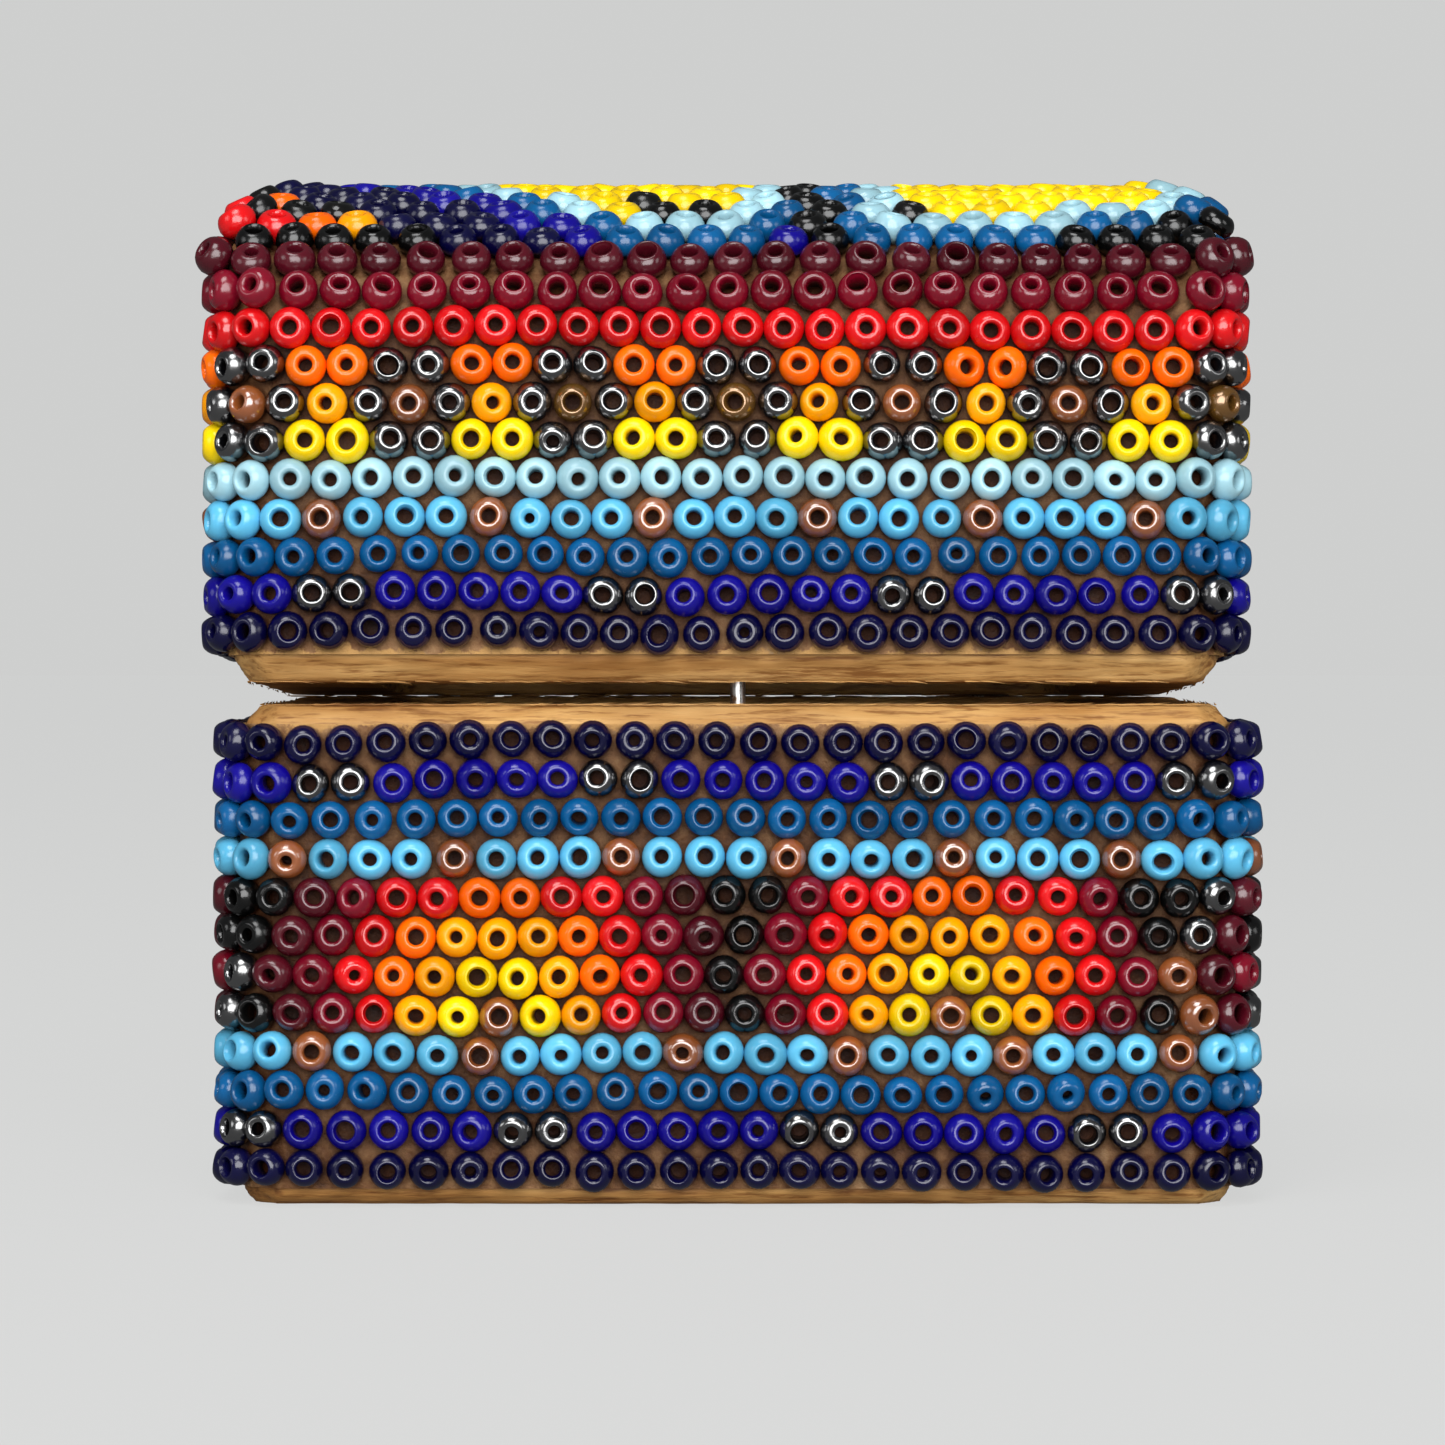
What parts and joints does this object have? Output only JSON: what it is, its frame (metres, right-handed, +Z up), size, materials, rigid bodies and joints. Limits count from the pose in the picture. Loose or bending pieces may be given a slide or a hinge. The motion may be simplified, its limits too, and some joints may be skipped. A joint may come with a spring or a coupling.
{
  "type": "beaded lidded box",
  "caption": "Small carved wooden chest covered all over with coloured glass seed beads set in wax, with a vaulted lid on wire hinges.",
  "frame": {"origin": "centre of the base's flat wooden underside", "axes": "+Z up, front towards -Y, width along X"},
  "size_m": [0.0557, 0.0348, 0.0542],
  "materials": {
    "wood": "knife-cut soft wood, bare",
    "wax": "beeswax and resin, satin",
    "steel": "drawn wire, slightly dulled",
    "bead_navy": "glossy opaque glass",
    "bead_cobalt": "glossy opaque glass",
    "bead_steel": "glossy opaque glass",
    "bead_sky": "glossy opaque glass",
    "bead_yellow": "glossy opaque glass",
    "bead_amber": "glossy opaque glass",
    "bead_orange": "glossy opaque glass",
    "bead_red": "glossy opaque glass",
    "bead_burgundy": "glossy opaque glass",
    "bead_maroon": "glossy opaque glass",
    "bead_black": "glossy opaque glass",
    "bead_hematite": "metallic grey glass with a silvery lustre",
    "bead_copper": "translucent brown glass with a lustre",
    "bead_pale": "glossy opaque glass",
    "bead_gold": "glass with a gold metal coat"
  },
  "bodies": {
    "base": {"base_block": "wood", "base_wax": "wax", "closure_nail": "steel", "hinge_eyes": "steel", "base_beads_navy": "bead_navy", "base_beads_cobalt": "bead_cobalt", "base_beads_steel": "bead_steel", "base_beads_sky": "bead_sky", "base_beads_yellow": "bead_yellow", "base_beads_amber": "bead_amber", "base_beads_orange": "bead_orange", "base_beads_red": "bead_red", "base_beads_burgundy": "bead_burgundy", "base_beads_maroon": "bead_maroon", "base_beads_black": "bead_black", "base_beads_hematite": "bead_hematite", "base_beads_copper": "bead_copper"},
    "lid": {"lid_block": "wood", "lid_wax": "wax", "lid_beads_navy": "bead_navy", "lid_beads_cobalt": "bead_cobalt", "lid_beads_steel": "bead_steel", "lid_beads_sky": "bead_sky", "lid_beads_pale": "bead_pale", "lid_beads_yellow": "bead_yellow", "lid_beads_amber": "bead_amber", "lid_beads_orange": "bead_orange", "lid_beads_red": "bead_red", "lid_beads_burgundy": "bead_burgundy", "lid_beads_maroon": "bead_maroon", "lid_beads_black": "bead_black", "lid_beads_hematite": "bead_hematite", "lid_beads_copper": "bead_copper", "lid_beads_gold": "bead_gold", "hinge_staples": "steel"}
  },
  "joints": [
    {"name": "lid_hinge", "type": "hinge", "parent": "base", "child": "lid", "pos_m": [0, 0.01625, 0.02605], "axis": [-1, 0, 0], "range_deg": [-2, 95]}
  ]
}
